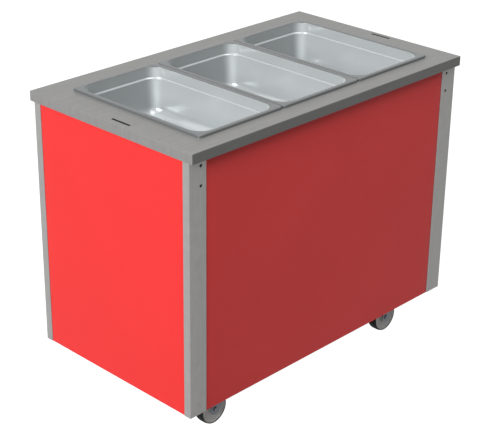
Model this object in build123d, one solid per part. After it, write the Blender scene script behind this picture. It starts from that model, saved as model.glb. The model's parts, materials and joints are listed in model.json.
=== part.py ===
from build123d import *
import os
from math import asin, cos, radians, sin, tan

# A mobile bain marie: a stainless worktop with three full-size gastronorm pans hung over a wet
# well, on a panelled cupboard body that rolls on four swivel casters.
# Millimetres. +Z is up, X runs along the length, and the customer side faces -Y.
# The origin is on the floor under the middle of the worktop.

# Overall sizes
length = 1160.0
depth = 680.0
top_height = 920.0

# Worktop
top_sheet = 1.5
fascia_height = 30.0
fascia_corner = 2.5
fascia_edge = 2.0
hem_width = 13.5
well_lip = 10.0
well_corner = 20.0
well_clear_x = 6.0
well_clear_y = 3.5

# Slots in the worktop for the uprights of a glass guard
slot_width = 8.0
slot_length = 75.0
slot_from_end = 22.0
slot_y = -35.5
slot_corner = 2.0
socket_sheet = 2.0
socket_depth = 100.0
socket_flange = 10.0

# Body under the worktop
end_overhang = 3.0
side_overhang = 16.0
skirt_gap = 5.0

# Corner posts, folded with a return on both edges
post_wide = 64.0
post_narrow = 26.0
post_return = 14.0
post_sheet = 1.5
post_bend = 2.0
post_hole_diameter = 9.0
post_hole_from_edge = 43.0
post_hole_drop = 19.0
post_hole_pitch = 58.0

# Panels between the posts
panel_sheet = 1.2
panel_recess = 2.0
panel_flange = 12.0
panel_bend = 1.6

# Gastronorm pans
pan_count = 3
pan_pitch = 328.0
pan_row_y = -10.0
pan_length = 530.0
pan_width = 325.0
pan_depth = 150.0
pan_sheet = 1.0
pan_rim_width = 12.5
pan_rim_drop = 8.5
pan_rim_corner = 11.0
pan_rim_edge = 2.5
pan_mouth_bend = 3.0
pan_corner = 48.0
pan_shoulder_depth = 35.0
pan_shoulder_step = 4.0
pan_upper_draft = 1.0
pan_lower_draft = 2.5
pan_bottom_radius = 22.0
bar_width = 20.0
bar_height = 12.0
bar_sheet = 1.5

# Heated well under the pans
tank_sheet = 1.2
tank_gap = 1.0
tank_floor_gap = 35.0
tank_flange = 12.0
insulation_thick = 20.0
insulation_base = 25.0
insulation_top_gap = 15.0
element_space = 17.5
element_diameter = 8.5
element_leg_spacing = 120.0
element_end_gap = 70.0
element_tail = 6.0
element_gap = 0.3
clamp_width = 14.0
clamp_sheet = 2.0
clamp_stud_diameter = 5.0
clamp_margin = 12.0

# Cupboard
floor_sheet = 1.5
floor_rise = 55.0
floor_edge = 12.0
floor_front_gap = 30.0
ceiling_front_gap = 44.0
shelf_height = 400.0
shelf_sheet = 1.2
shelf_edge = 25.0
shelf_front_gap = 12.0
bracket_leg = 30.0
bracket_sheet = 1.5
bracket_length = 420.0
sill_sheet = 1.5

# Doors on the operator side
door_recess = 4.0
door_thick = 20.0
door_sheet = 1.0
door_gap = 2.0
door_lip = 14.0
door_bend = 2.0
hinge_from_edge = 12.0
hinge_from_face = 6.0
pin_diameter = 5.0
pin_reach = 12.0
pin_collar_diameter = 9.0
bush_wall = 3.0
running_fit = 0.05
face_gap = 0.3
grip_width = 44.0
grip_height = 120.0
grip_depth = 14.0
grip_flange = 7.0
grip_sheet = 1.2
grip_corner = 12.0
grip_cup_radius = 3.4
grip_lip = 11.0
grip_from_edge = 62.0
grip_drop = 130.0
catch_width = 42.0
catch_depth = 14.0
catch_height = 12.0
catch_from_middle = 30.0

# Control fascia above the doors
control_height = 156.5
control_flange = 42.0
control_row_drop = 84.0
housing_depth = 44.0
housing_half_width = 170.0
housing_sheet = 1.0
housing_margin = 12.0
knob_x = -75.0
knob_skirt_diameter = 46.0
knob_grip_diameter = 36.0
knob_depth = 17.0
knob_skirt_depth = 4.0
knob_flutes = 12
knob_flute_diameter = 5.0
knob_gap = 0.6
knob_edge = 1.0
shaft_diameter = 6.0
thermostat_neck_diameter = 10.0
thermostat_size = (42.0, 22.0, 34.0)
lamp_xs = (-15.0, 25.0)
lamp_bezel_diameter = 15.0
lamp_lens_diameter = 11.0
lamp_body_diameter = 10.0
lamp_dome = 2.5
lamp_body_depth = 24.0
switch_x = 80.0
switch_width = 22.0
switch_height = 30.0
switch_rim = 2.5
switch_depth = 24.0
rocker_tilt = 10.0
rocker_gap = 0.4
rocker_axis_depth = 3.0
gland_x = -470.0
gland_thread_diameter = 20.0
gland_hex = 25.0
gland_bore = 9.0
gland_reach = 17.0
gland_hex_high = 5.7
gland_dome_edge = 5.7
gland_dome_step = 1.0
screw_head_diameter = 8.0
screw_diameter = 4.0
screw_length = 8.0
screw_head_height = 2.0
screw_head_edge = 1.3

# Drain
drain_x = 430.0
drain_y = 150.0
drain_outside = 27.0
drain_bore = 22.0
drain_reach = 45.0
valve_length = 62.0
valve_width = 36.0
valve_outlet = 26.0
valve_body_diameter = 34.0
valve_hex_high = 12.4
stem_diameter = 8.0
boss_diameter = 16.0
lever_length = 95.0
lever_width = 18.0
lever_sheet = 3.0

# Chassis and casters
rail_width = 82.0
rail_sheet = 2.0
rail_bend = 3.0
rail_relief_diameter = 28.0
caster_x = 397.0
caster_y = 255.0
caster_trail = 33.0
wheel_diameter = 100.0
wheel_width = 32.0
tyre_thick = 4.0
tyre_crown = 2.0
wheel_web = 24.0
wheel_rim = 6.0
wheel_slope = 2.0
wheel_side_gap = 1.0
hub_diameter = 28.0
axle_diameter = 10.0
axle_head_diameter = 15.0
axle_head = 4.0
fork_sheet = 2.5
fork_clear = 2.0
fork_eye = 18.0
fork_shoulder = 26.0
crown_diameter = 62.0
crown_gap = 4.0
crown_thick = 4.0
race_height = 4.0
race_step = 2.0
race_taper = 3.0
kingpin_diameter = 12.0
plate_thick = 4.0
plate_length = 104.0
plate_width = 80.0
plate_corner = 8.0
caster_head = 28.0
bolt_diameter = 8.0
bolt_spacing_x = 80.0
bolt_spacing_y = 60.0
bolt_head = 13.0
bolt_head_height = 5.3
bolt_end = 2.6
nut_height = 6.5
brake_pivot_clear = 8.0
brake_pivot_angle = 52.0
brake_pin_diameter = 6.0
brake_ear = 7.0
pedal_width = 30.0
pedal_length = 34.0
pedal_sheet = 3.0
pedal_lip = 9.0
pedal_lip_radius = 2.7

# Planes and faces worked out from the sizes above
body_x = length / 2 - end_overhang
body_y = depth / 2 - side_overhang
body_bottom = wheel_diameter + skirt_gap
caster_height = wheel_diameter + caster_head
fascia_bottom = top_height - fascia_height
top_under = top_height - top_sheet
post_x = body_x - post_wide
post_y = body_y - post_narrow
panel_x = body_x - panel_recess
panel_y = body_y - panel_recess
end_inside = panel_x - panel_sheet
long_inside = panel_y - panel_sheet
door_face = body_y - door_recess
pan_xs = [pan_pitch * (i - (pan_count - 1) / 2) for i in range(pan_count)]
pan_names = ("left", "centre", "right")
rim_top = top_height + pan_rim_drop
drawn_width = pan_width - 2 * pan_rim_width
drawn_length = pan_length - 2 * pan_rim_width
well_x = pan_xs[-1] + drawn_width / 2 + well_clear_x
well_y = drawn_length / 2 + well_clear_y
tank_x = well_x + top_sheet + tank_gap + tank_sheet
tank_y = well_y + top_sheet + tank_gap + tank_sheet
tank_corner = well_corner + top_sheet + tank_gap + tank_sheet
tank_floor = rim_top - pan_depth - tank_floor_gap
tank_bottom = tank_floor - tank_sheet
insulation_bottom = tank_bottom - element_space - insulation_base
control_bottom = top_under - control_height
control_row = top_under - control_row_drop
floor_front = body_y - floor_front_gap
ceiling_front = body_y - ceiling_front_gap
floor_top = body_bottom + floor_rise
rail_bottom = caster_height
socket_x = length / 2 - slot_from_end
well_place = Pos(0, pan_row_y, 0)
upwards = (Align.CENTER, Align.CENTER, Align.MIN)
downwards = (Align.CENTER, Align.CENTER, Align.MAX)


# A block between two corners, from three (low, high) pairs
def block(xs, ys, zs):
    middle = [(low + high) / 2 for low, high in (xs, ys, zs)]
    size = [high - low for low, high in (xs, ys, zs)]
    return Pos(*middle) * Box(*size)


# A rounded rectangle in plan, raised from low to high
def rounded_block(width, long, corner, low, high):
    return extrude(Plane.XY.offset(low) * RectangleRounded(width, long, corner), high - low)


# The section of folded sheet, whose outer face follows the points and whose metal lies to their right
def folded(points, bend, sheet):
    outer = Wire(FilletPolyline(*points, radius=bend).edges())
    return make_face(outer.offset_2d(sheet, side=Side.RIGHT).edges())


# A round bar or bore of one diameter from one point to another, in line with an axis
def round_bar(diameter, start, end):
    start, end = Vector(*start), Vector(*end)
    plane = Plane(origin=start, z_dir=end - start)
    return extrude(plane * Circle(diameter / 2), (end - start).length)


# A hexagon of a width across its flats, raised from low to high about a vertical axis
def hexagon(flats, x, y, low, high):
    corner_radius = flats / 2 / cos(radians(30))
    return extrude(Plane((x, y, low)) * RegularPolygon(corner_radius, 6), high - low)


# Worktop: a folded top with its fascia, hemmed long edges, a lipped well and two upright slots
def make_worktop():
    top = rounded_block(length, depth, fascia_corner, fascia_bottom, top_height)
    top = fillet(top.faces().sort_by(Axis.Z)[-1].edges(), fascia_edge)
    inside_x = length / 2 - top_sheet
    inside_y = depth / 2 - top_sheet
    top -= block((-inside_x, inside_x), (-inside_y, inside_y), (fascia_bottom + top_sheet, top_under))
    hem = depth / 2 - top_sheet - hem_width
    top -= block((-inside_x, inside_x), (-hem, hem), (fascia_bottom, fascia_bottom + top_sheet))
    lip_bottom = top_under - well_lip
    lip = rounded_block(2 * (well_x + top_sheet), 2 * (well_y + top_sheet), well_corner + top_sheet,
                        lip_bottom, top_under)
    top += well_place * lip
    top -= well_place * rounded_block(2 * well_x, 2 * well_y, well_corner, lip_bottom, top_height)
    for side in (-1, 1):
        slot = rounded_block(slot_width, slot_length, slot_corner, top_under, top_height)
        top -= Pos(side * socket_x, slot_y, 0) * slot
    return top


# Socket under one slot: a blind sheet pocket with a flange against the worktop
def make_socket(side):
    around = 2 * socket_sheet
    pocket = rounded_block(slot_width + around, slot_length + around, slot_corner + socket_sheet,
                           top_under - socket_depth - socket_sheet, top_under)
    flange = rounded_block(slot_width + around, slot_length + around + 2 * socket_flange,
                           slot_corner + socket_sheet, top_under - socket_sheet, top_under)
    bore = rounded_block(slot_width, slot_length, slot_corner, top_under - socket_depth, top_under)
    return Pos(side * socket_x, slot_y, 0) * (pocket + flange - bore)


# Corner post: one folded section, drawn for the corner at +X +Y and mirrored to the others
def make_post(x_side, y_side):
    section = folded([(post_x, body_y - post_return), (post_x, body_y), (body_x, body_y),
                      (body_x, post_y), (body_x - post_return, post_y)], post_bend, post_sheet)
    post = extrude(Plane.XY.offset(body_bottom) * section, top_under - body_bottom)
    if y_side < 0:
        for step in range(2):
            height = fascia_bottom - post_hole_drop - step * post_hole_pitch
            hole_x = body_x - post_hole_from_edge
            post -= round_bar(post_hole_diameter, (hole_x, body_y - post_bend - post_sheet, height),
                              (hole_x, body_y + post_sheet, height))
        post = mirror(post, Plane.XZ)
    return mirror(post, Plane.YZ) if x_side < 0 else post


# A panel in the XZ plane with flanges turned back on both sides and along its bottom
def make_panel(width):
    half = width / 2
    section = folded([(-half, -panel_flange), (-half, 0), (half, 0), (half, -panel_flange)],
                     panel_bend, panel_sheet)
    panel = extrude(Plane.XY.offset(body_bottom) * section, top_under - body_bottom)
    flange = block((-half + panel_sheet, half - panel_sheet), (-panel_flange, -panel_sheet),
                   (body_bottom, body_bottom + panel_sheet))
    return panel + flange


def make_customer_panel():
    return Rot(0, 0, 180) * Pos(0, panel_y, 0) * make_panel(2 * post_x)


def make_end_panel(side):
    return Rot(0, 0, -90 * side) * Pos(0, panel_x, 0) * make_panel(2 * post_y)


# One drawn pan cavity as a solid, hung from height zero: straight to the shoulder, then tapered
def drawn_form(width, long, corner, shoulder, deep, bottom_radius):
    upper = extrude(RectangleRounded(width, long, corner), -shoulder, taper=pan_upper_draft)
    step = pan_shoulder_step
    lower_outline = RectangleRounded(width - 2 * step, long - 2 * step, corner - step)
    lower = extrude(Plane.XY.offset(-shoulder) * lower_outline, shoulder - deep, taper=pan_lower_draft)
    lower = fillet(lower.faces().sort_by(Axis.Z)[0].edges(), bottom_radius)
    return upper + lower


# Pan: a drawn body with a shoulder, under a flat rim whose edge turns down onto the worktop
def make_pan(x):
    body = drawn_form(drawn_width, drawn_length, pan_corner, pan_shoulder_depth, pan_depth,
                      pan_bottom_radius)
    rim = rounded_block(pan_width, pan_length, pan_rim_corner, -pan_rim_drop, 0)
    rim = fillet(rim.faces().sort_by(Axis.Z)[-1].edges(), pan_rim_edge)
    under = rounded_block(pan_width - 2 * pan_sheet, pan_length - 2 * pan_sheet,
                          pan_rim_corner - pan_sheet, -pan_rim_drop, -pan_sheet)
    shell = rim - under + body
    joint = shell.edges().filter_by_position(Axis.Z, -pan_sheet - 0.01, -pan_sheet + 0.01)
    near_wall = [e for e in joint if abs(e.center().X) < drawn_width / 2 + 1
                 and abs(e.center().Y) < drawn_length / 2 + 1]
    shell = fillet(near_wall, pan_mouth_bend - pan_sheet)
    cavity = drawn_form(drawn_width - 2 * pan_sheet, drawn_length - 2 * pan_sheet,
                        pan_corner - pan_sheet, pan_shoulder_depth - pan_sheet,
                        pan_depth - pan_sheet, pan_bottom_radius - pan_sheet)
    shell -= cavity
    mouth = [e for e in shell.edges().filter_by_position(Axis.Z, -0.01, 0.01)
             if abs(e.center().X) < drawn_width / 2 and abs(e.center().Y) < drawn_length / 2]
    shell = fillet(mouth, pan_mouth_bend)
    return Pos(x, pan_row_y, rim_top) * shell


# Bars across the well, between neighbouring pans, flush with the worktop
def make_support_bars():
    half = bar_width / 2
    section = folded([(-half, -bar_height), (-half, 0), (half, 0), (half, -bar_height)],
                     bar_sheet, bar_sheet)
    bars = []
    for left, right in zip(pan_xs, pan_xs[1:]):
        plane = Plane(((left + right) / 2, pan_row_y + well_y, top_height), x_dir=(1, 0, 0),
                      z_dir=(0, -1, 0))
        bars.append(extrude(plane * section, 2 * well_y))
    return bars


# Water tank: a wall wrapped round a flat welded floor, flanged to the underside of the worktop
def make_tank():
    wall = rounded_block(2 * tank_x, 2 * tank_y, tank_corner, tank_bottom, top_under)
    flange = rounded_block(2 * (tank_x + tank_flange), 2 * (tank_y + tank_flange),
                           tank_corner + tank_flange, top_under - tank_sheet, top_under)
    inside_x, inside_y = 2 * (tank_x - tank_sheet), 2 * (tank_y - tank_sheet)
    inside_corner = tank_corner - tank_sheet
    wall += flange
    wall -= rounded_block(inside_x, inside_y, inside_corner, tank_bottom, top_under)
    base = rounded_block(inside_x, inside_y, inside_corner, tank_bottom, tank_floor)
    drain = round_bar(drain_bore, (drain_x, drain_y, tank_bottom), (drain_x, drain_y, tank_floor))
    return [well_place * wall, well_place * base - drain]


# Insulation: a moulded jacket round the tank walls, on a slab under the heating elements
def make_insulation():
    top = top_under - insulation_top_gap
    jacket = rounded_block(2 * (tank_x + insulation_thick), 2 * (tank_y + insulation_thick),
                           tank_corner + insulation_thick, insulation_bottom, top)
    room = rounded_block(2 * tank_x, 2 * tank_y, tank_corner, insulation_bottom + insulation_base, top)
    jacket = well_place * (jacket - room)
    for x in element_leg_xs():
        outside_y = pan_row_y + tank_y + insulation_thick
        jacket -= round_bar(element_diameter + 2 * face_gap, (x, outside_y - 2 * insulation_thick, element_z()),
                            (x, outside_y + insulation_thick, element_z()))
    return jacket - round_bar(drain_outside + 2 * face_gap, (drain_x, drain_y, insulation_bottom),
                              (drain_x, drain_y, tank_bottom))


def element_z():
    return tank_bottom - element_gap - element_diameter / 2


def element_leg_xs():
    return [x + side * element_leg_spacing / 2 for x in pan_xs for side in (-1, 1)]


# Heating elements: one tubular hairpin under each pan, its two tails towards the operator side
def make_elements():
    loops = []
    turn = element_leg_spacing / 2
    front = pan_row_y - tank_y + element_end_gap + turn
    back = pan_row_y + tank_y + insulation_thick + element_tail
    for x in pan_xs:
        left, right = (x - turn, front), (x + turn, front)
        path = Wire([Line((x - turn, back), left), ThreePointArc(left, (x, front - turn), right),
                     Line(right, (x + turn, back))])
        path = Pos(0, 0, element_z()) * path
        loops.append(sweep((path ^ 0) * Circle(element_diameter / 2), path))
    return loops


# Clamps: two straps over each hairpin, each on a stud welded to the tank
def make_clamps():
    clamps = []
    half = element_leg_spacing / 2 + element_diameter / 2 + clamp_margin
    strap_top = element_z() - element_diameter / 2 - element_gap
    for x in pan_xs:
        for y in (pan_row_y - tank_y / 2, pan_row_y + tank_y / 2):
            strap = block((x - half, x + half), (y - clamp_width / 2, y + clamp_width / 2),
                          (strap_top - clamp_sheet, strap_top))
            stud = round_bar(clamp_stud_diameter, (x, y, strap_top - 2 * clamp_sheet), (x, y, tank_bottom))
            clamps.append(strap + stud)
    return clamps


# The plan of a tray that fits inside the body and round the customer-side posts
def tray_outline(front):
    inner_x = post_x - post_sheet
    inner_y = post_y - post_sheet
    points = [(-end_inside, front), (-end_inside, -inner_y), (-inner_x, -inner_y),
              (-inner_x, -long_inside), (inner_x, -long_inside), (inner_x, -inner_y),
              (end_inside, -inner_y), (end_inside, front)]
    return make_face(Polyline(*points, close=True))


# A tray of that plan with its edges turned up, from low to high
def make_tray(front, low, high, sheet):
    outline = tray_outline(front)
    tray = extrude(Plane.XY.offset(low) * outline, high - low)
    room = offset(outline, -sheet, kind=Kind.INTERSECTION)
    return tray - extrude(Plane.XY.offset(low + sheet) * room, high - low - sheet)


def make_cupboard_floor():
    return make_tray(floor_front, floor_top - floor_sheet, floor_top + floor_edge, floor_sheet)


def make_cupboard_ceiling():
    low = insulation_bottom - panel_sheet
    tray = make_tray(ceiling_front, low, control_bottom, panel_sheet)
    return tray - round_bar(drain_outside + 2 * face_gap, (drain_x, drain_y, low),
                            (drain_x, drain_y, insulation_bottom))


# Shelf: a tray with its edges turned down, on an angle at each end of the cupboard
def make_shelf():
    y_low = -(post_y - post_sheet)
    y_high = ceiling_front - shelf_front_gap
    bottom = shelf_height - shelf_edge
    shelf = block((-end_inside, end_inside), (y_low, y_high), (bottom, shelf_height))
    inner_x = end_inside - shelf_sheet
    room = block((-inner_x, inner_x), (y_low + shelf_sheet, y_high - shelf_sheet),
                 (bottom, shelf_height - shelf_sheet))
    return shelf - room


def make_shelf_brackets():
    seat = shelf_height - shelf_edge
    section = folded([(end_inside - bracket_leg, seat), (end_inside, seat), (end_inside, seat - bracket_leg)],
                     post_bend, bracket_sheet)
    plane = Plane((0, bracket_length / 2, 0), x_dir=(1, 0, 0), z_dir=(0, -1, 0))
    bracket = extrude(plane * section, bracket_length)
    return [bracket, mirror(bracket, Plane.YZ)]


# Sill: a folded rail under the doors, between the operator-side posts
def make_sill():
    section = folded([(floor_front, floor_top), (door_face, floor_top), (door_face, body_bottom)],
                     post_bend, sill_sheet)
    plane = Plane((-post_x, 0, 0), x_dir=(0, 1, 0), z_dir=(1, 0, 0))
    sill = extrude(plane * section, 2 * post_x)
    for side in (-1, 1):
        x, y = hinge_place(side)
        sill -= round_bar(pin_diameter, (x, y, body_bottom), (x, y, floor_top))
    return sill


def hinge_place(side):
    return side * (post_x - door_gap - hinge_from_edge), door_face - hinge_from_face


# The two heights between which a door hangs
def door_heights():
    return floor_top + door_gap, control_bottom - door_gap


# Door: a folded skin closed by an inner liner, with a bored bush at each end of its hinge edge
def make_door(side):
    near, far = door_gap / 2, post_x - door_gap
    low, high = door_heights()
    back = door_face - door_thick
    skin = block((near, far), (back, door_face), (low, high))
    skin = fillet(skin.edges().filter_by(Axis.Z).group_by(Axis.Y)[-1], door_bend)
    skin -= block((near + door_sheet, far - door_sheet), (back + door_sheet, door_face - door_sheet),
                  (low + door_sheet, high - door_sheet))
    skin -= block((near + door_lip, far - door_lip), (back, back + door_sheet),
                  (low + door_lip, high - door_lip))
    x, y = hinge_place(1)
    bore = pin_diameter + 2 * running_fit
    for start, end in ((low, low + pin_reach + door_gap), (high, high - pin_reach - door_gap)):
        skin += round_bar(bore + 2 * bush_wall, (x, y, start), (x, y, end))
        skin -= round_bar(bore, (x, y, start), (x, y, end))
    grip_x, grip_z = grip_place()
    skin -= Pos(grip_x, door_face, grip_z) * grip_hole()
    liner = block((near + door_lip, far - door_lip), (back, back + door_sheet),
                  (low + door_lip, high - door_lip))
    return [skin, liner] if side > 0 else [mirror(skin, Plane.YZ), mirror(liner, Plane.YZ)]


def grip_place():
    low, high = door_heights()
    return grip_from_edge, high - grip_drop


# The hole for a recessed grip, about its centre on the door's face
def grip_hole():
    plane = Plane((0, -door_sheet, 0), x_dir=(1, 0, 0), z_dir=(0, 1, 0))
    return extrude(plane * RectangleRounded(grip_width, grip_height, grip_corner), 2 * door_sheet)


# Recessed grip: a pressed cup with a flange on the door and a lip for the fingers to pull on
def make_grip(side):
    plane = Plane((0, 0, 0), x_dir=(1, 0, 0), z_dir=(0, 1, 0))
    wide, high = grip_width, grip_height
    flange = extrude(plane * RectangleRounded(wide + 2 * grip_flange, high + 2 * grip_flange,
                                              grip_corner + grip_flange), grip_sheet)
    flange = fillet(flange.faces().sort_by(Axis.Y)[-1].edges(), grip_sheet / 2)
    cup = extrude(plane * RectangleRounded(wide, high, grip_corner), -grip_depth)
    cup = fillet(cup.faces().sort_by(Axis.Y)[0].edges(), grip_cup_radius)
    thin = 2 * grip_sheet
    hollow = extrude(plane * RectangleRounded(wide - thin, high - thin, grip_corner - grip_sheet),
                     grip_sheet - grip_depth)
    mouth = extrude(plane * RectangleRounded(wide - thin, high - thin, grip_corner - grip_sheet), grip_sheet)
    lip_edge = -wide / 2 + grip_lip
    mouth -= block((-wide, lip_edge), (-grip_sheet, 2 * grip_sheet), (-high, high))
    grip_x, grip_z = grip_place()
    grip = Pos(grip_x, door_face, grip_z) * (flange + cup - hollow - mouth)
    return grip if side > 0 else mirror(grip, Plane.YZ)


# Hinge pins: a collared pin above and below each door
def make_hinge_pins():
    pins = []
    low, high = door_heights()
    for side in (-1, 1):
        x, y = hinge_place(side)
        pins.append(round_bar(pin_diameter, (x, y, floor_top - sill_sheet), (x, y, low + pin_reach))
                    + round_bar(pin_collar_diameter, (x, y, floor_top), (x, y, low - running_fit)))
        pins.append(round_bar(pin_diameter, (x, y, control_bottom + panel_sheet), (x, y, high - pin_reach))
                    + round_bar(pin_collar_diameter, (x, y, control_bottom), (x, y, high + running_fit)))
    return pins


# Magnetic catches behind the free edge of each door
def make_catches():
    back = door_face - door_thick - face_gap
    middle = catch_from_middle + catch_width / 2
    return [block((x - catch_width / 2, x + catch_width / 2), (back - catch_depth, back),
                  (control_bottom - catch_height, control_bottom)) for x in (-middle, middle)]


# Control fascia: a folded panel above the doors, with holes for the controls and the gland
def make_control_fascia():
    half = post_x
    section = folded([(-half, -panel_flange), (-half, 0), (half, 0), (half, -panel_flange)],
                     panel_bend, panel_sheet)
    fascia = extrude(Plane.XY.offset(control_bottom) * section, control_height)
    fascia += block((-half + panel_sheet, half - panel_sheet), (-control_flange, -panel_sheet),
                    (control_bottom, control_bottom + panel_sheet))
    fascia = Pos(0, door_face, 0) * fascia
    inside, outside = door_face - panel_sheet, door_face
    holes = [(knob_x, thermostat_neck_diameter), (gland_x, gland_thread_diameter)]
    holes += [(x, lamp_body_diameter) for x in lamp_xs]
    for x, diameter in holes:
        fascia -= round_bar(diameter, (x, inside, control_row), (x, outside, control_row))
    half_x = switch_width / 2 - switch_rim
    half_z = switch_height / 2 - switch_rim
    fascia -= block((switch_x - half_x, switch_x + half_x), (inside, outside),
                    (control_row - half_z, control_row + half_z))
    for x, z in fascia_screw_places():
        fascia -= round_bar(screw_diameter, (x, inside, z), (x, outside, z))
    for side in (-1, 1):
        x, y = hinge_place(side)
        fascia -= round_bar(pin_diameter, (x, y, control_bottom), (x, y, control_bottom + panel_sheet))
    return fascia


def fascia_screw_places():
    half = housing_half_width - housing_margin / 2
    low = control_bottom + 2 * housing_margin + housing_margin / 2
    high = fascia_bottom - housing_margin
    return [(x, z) for x in (-half, half) for z in (low, high)]


# Screws that hold the housing behind the fascia
def make_fascia_screws():
    screws = []
    for x, z in fascia_screw_places():
        head = round_bar(screw_head_diameter, (x, door_face, z), (x, door_face + screw_head_height, z))
        head = fillet(head.faces().sort_by(Axis.Y)[-1].edges(), screw_head_edge)
        shank = round_bar(screw_diameter, (x, door_face - screw_length, z), (x, door_face, z))
        screws.append(head + shank)
    return screws


# Housing: a flanged box that closes in the back of the controls
def make_control_housing():
    half = housing_half_width
    front = door_face - panel_sheet
    low = control_bottom + 2 * housing_margin
    high = fascia_bottom - housing_margin / 2
    flange = block((-half, half), (front - housing_sheet, front), (low, high))
    inner = half - housing_margin
    box = block((-inner, inner), (front - housing_depth, front), (low + housing_margin, high - housing_margin))
    thin = housing_sheet
    room = block((-inner + thin, inner - thin), (front - housing_depth + thin, front),
                 (low + housing_margin + thin, high - housing_margin - thin))
    housing = flange + box - room
    for x, z in fascia_screw_places():
        housing -= round_bar(screw_diameter, (x, front - thin, z), (x, front, z))
    return housing


# Thermostat: its body, threaded neck and shaft behind the knob
def make_thermostat():
    wide, deep, high = thermostat_size
    inside = door_face - panel_sheet
    body = block((knob_x - wide / 2, knob_x + wide / 2), (inside - deep, inside),
                 (control_row - high / 2, control_row + high / 2))
    neck = round_bar(thermostat_neck_diameter, (knob_x, inside, control_row),
                     (knob_x, door_face + knob_gap / 2, control_row))
    shaft = round_bar(shaft_diameter, (knob_x, inside, control_row),
                      (knob_x, door_face + knob_depth - knob_skirt_depth, control_row))
    return body + neck + shaft


# Knob: a skirted dial with a fluted grip and a pointer groove, bored for the shaft
def make_knob():
    skirt, grip = knob_skirt_diameter / 2, knob_grip_diameter / 2
    start, top = knob_gap, knob_depth
    edge = knob_edge
    profile = [(0, start), (skirt, start), (skirt, start + knob_skirt_depth / 2),
               (skirt - edge, start + knob_skirt_depth), (grip, start + knob_skirt_depth),
               (grip - edge, top - edge), (grip - 2 * edge, top), (0, top)]
    knob = revolve(Plane.XZ * make_face(Polyline(*profile, close=True)), Axis.Z)
    for i in range(knob_flutes):
        turn = 360 / knob_flutes * (i + 0.5)
        flute = Pos(grip + edge, 0, 0) * Cylinder(knob_flute_diameter / 2, top, align=upwards)
        knob -= Rot(0, 0, turn) * Pos(0, 0, start + knob_skirt_depth) * flute
    groove = block((-edge, edge), (-grip, 0), (top - edge, top))
    bore = Cylinder(shaft_diameter / 2 + running_fit, knob_depth - knob_skirt_depth + running_fit,
                    align=upwards)
    knob = knob - groove - bore
    return Pos(knob_x, door_face, control_row) * Rot(-90, 0, 0) * knob


# Indicator lamps: a bezel with a domed lens and a body through the fascia
def make_lamps():
    lamps = []
    bezel, lens = lamp_bezel_diameter / 2, lamp_lens_diameter / 2
    rise = bezel - lens
    sphere = (lens ** 2 + lamp_dome ** 2) / (2 * lamp_dome)
    half_turn = asin(lens / sphere) / 2
    centre = rise + lamp_dome - sphere
    arc = ThreePointArc((lens, rise), (sphere * sin(half_turn), centre + sphere * cos(half_turn)),
                        (0, rise + lamp_dome))
    outline = Polyline((0, rise + lamp_dome), (0, 0), (bezel, 0), (bezel, rise / 2),
                       (bezel - rise / 2, rise), (lens, rise))
    for x in lamp_xs:
        head = revolve(Plane.XZ * make_face([outline, arc]), Axis.Z)
        body = Pos(0, 0, -lamp_body_depth) * Cylinder(lamp_body_diameter / 2, lamp_body_depth, align=upwards)
        lamps.append(Pos(x, door_face, control_row) * Rot(-90, 0, 0) * (head + body))
    return lamps


# Mains switch: a snap-in frame whose well lets the rocker turn about a level axis
def make_switch_frame():
    half_x, half_z = switch_width / 2, switch_height / 2
    inner_x, inner_z = half_x - switch_rim, half_z - switch_rim
    thin = switch_rim / 2
    rim = block((switch_x - half_x, switch_x + half_x), (door_face, door_face + thin),
                (control_row - half_z, control_row + half_z))
    rim = fillet(rim.faces().sort_by(Axis.Y)[-1].edges(), thin / 2)
    body = block((switch_x - inner_x, switch_x + inner_x), (door_face - switch_depth, door_face),
                 (control_row - inner_z, control_row + inner_z))
    well = block((switch_x - inner_x + thin, switch_x + inner_x - thin),
                 (door_face - switch_depth + thin, door_face + 2 * thin),
                 (control_row - inner_z + thin, control_row + inner_z - thin))
    return rim + body - well


# Rocker: a drum section with a shallow V face, at rest with its lower half pressed in
def make_rocker():
    thin = switch_rim / 2
    half_x = switch_width / 2 - switch_rim - thin - rocker_gap
    radius = switch_height / 2 - switch_rim - thin - rocker_gap
    drum = Rot(0, 90, 0) * Cylinder(radius, 2 * half_x)
    peak = rocker_axis_depth + 2 * thin
    fall = 2 * radius * tan(radians(rocker_tilt))
    points = [(peak, 0), (peak - fall, 2 * radius), (-radius / 2, 2 * radius),
              (-radius / 2, -2 * radius), (peak - fall, -2 * radius)]
    plane = Plane((-half_x, 0, 0), x_dir=(0, 1, 0), z_dir=(1, 0, 0))
    wedge = extrude(plane * make_face(Polyline(*points, close=True)), 2 * half_x)
    rocker = drum & wedge
    return Pos(switch_x, door_face - rocker_axis_depth, control_row) * Rot(-rocker_tilt, 0, 0) * rocker


# Cable gland: a hexagon, a domed nut and a bore, with its thread through the fascia
def make_gland():
    hex_part = hexagon(gland_hex, 0, 0, 0, gland_hex_high)
    dome = Cylinder(gland_hex / 2 - gland_dome_step, gland_reach, align=upwards)
    dome = fillet(dome.faces().sort_by(Axis.Z)[-1].edges(), gland_dome_edge)
    thread = Pos(0, 0, -gland_reach) * Cylinder(gland_thread_diameter / 2, gland_reach, align=upwards)
    bore = Cylinder(gland_bore / 2, 4 * gland_reach)
    return Pos(gland_x, door_face, control_row) * Rot(-90, 0, 0) * (hex_part + dome + thread - bore)


def valve_top():
    return insulation_bottom - drain_reach


# Drain: a spigot welded under the tank, down through the insulation to the valve
def make_drain_pipe():
    top, bottom = (drain_x, drain_y, tank_bottom), (drain_x, drain_y, valve_top())
    return round_bar(drain_outside, bottom, top) - round_bar(drain_bore, bottom, top)


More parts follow.
